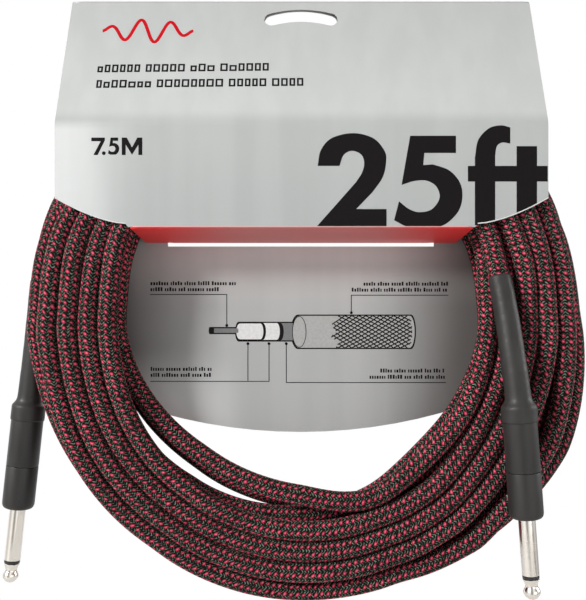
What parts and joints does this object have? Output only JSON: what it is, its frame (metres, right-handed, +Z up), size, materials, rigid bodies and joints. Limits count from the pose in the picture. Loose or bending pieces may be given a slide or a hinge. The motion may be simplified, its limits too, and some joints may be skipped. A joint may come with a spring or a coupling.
{
  "type": "instrument cable",
  "caption": "Long braided instrument cable with straight jack plugs, wound in an oval coil and held in a folded hang card.",
  "frame": {"origin": "top of the hang hole's edge in the card's back panel, on its front face, where a hook bears", "axes": "+Z up; +Y from the coil towards the back panel and the wall, so the front faces -Y; +X to the right seen from the front"},
  "size_m": [0.2354, 0.0409, 0.2429],
  "materials": {
    "silver_card": "satin metallic print on folded board",
    "red_card": "red print on folded board",
    "braided_jacket": "woven braid, crimson dashes on black and dark green",
    "heat_shrink": "matte heat-shrink sleeve",
    "plug_shell": "satin black",
    "nickel_contact": "bright nickel plate",
    "black_insulator": "moulded black",
    "fibre_washer": "brown fibre",
    "solder_lug": "stamped, tinned at the joint",
    "liner_tube": "clear insulating tube",
    "core_insulation": "natural polyethylene",
    "bare_copper": "bare stranded copper"
  },
  "bodies": {
    "hanging": {"card_back": "silver_card", "cable_coil": "braided_jacket", "cable_coil_top": "braided_jacket", "boot_a": "heat_shrink", "front_shell_a": "plug_shell", "rear_shell_a": "plug_shell", "tip_contact_a": "nickel_contact", "sleeve_contact_a": "nickel_contact", "tip_insulator_a": "black_insulator", "core_insulator_a": "black_insulator", "rear_washer_a": "fibre_washer", "tip_lug_a": "solder_lug", "ground_lug_a": "solder_lug", "liner_a": "liner_tube", "core_insulation_a": "core_insulation", "core_conductor_a": "bare_copper", "shield_pigtail_a": "bare_copper", "cable_lead_a": "braided_jacket", "boot_b": "heat_shrink", "front_shell_b": "plug_shell", "rear_shell_b": "plug_shell", "tip_contact_b": "nickel_contact", "sleeve_contact_b": "nickel_contact", "tip_insulator_b": "black_insulator", "core_insulator_b": "black_insulator", "rear_washer_b": "fibre_washer", "tip_lug_b": "solder_lug", "ground_lug_b": "solder_lug", "liner_b": "liner_tube", "core_insulation_b": "core_insulation", "core_conductor_b": "bare_copper", "shield_pigtail_b": "bare_copper", "cable_lead_b": "braided_jacket"},
    "front_card": {"card_front": "silver_card"},
    "flap": {"tuck_flap": "red_card"}
  },
  "joints": [
    {"name": "card_opening", "type": "hinge", "parent": "hanging", "child": "front_card", "pos_m": [0, 0, 0.0036], "axis": [-1, 0, 0], "range_deg": [0, 110]},
    {"name": "flap_opening", "type": "hinge", "parent": "front_card", "child": "flap", "pos_m": [0, -0.026, -0.0921], "axis": [-1, 0, 0], "range_deg": [0, 80]}
  ]
}
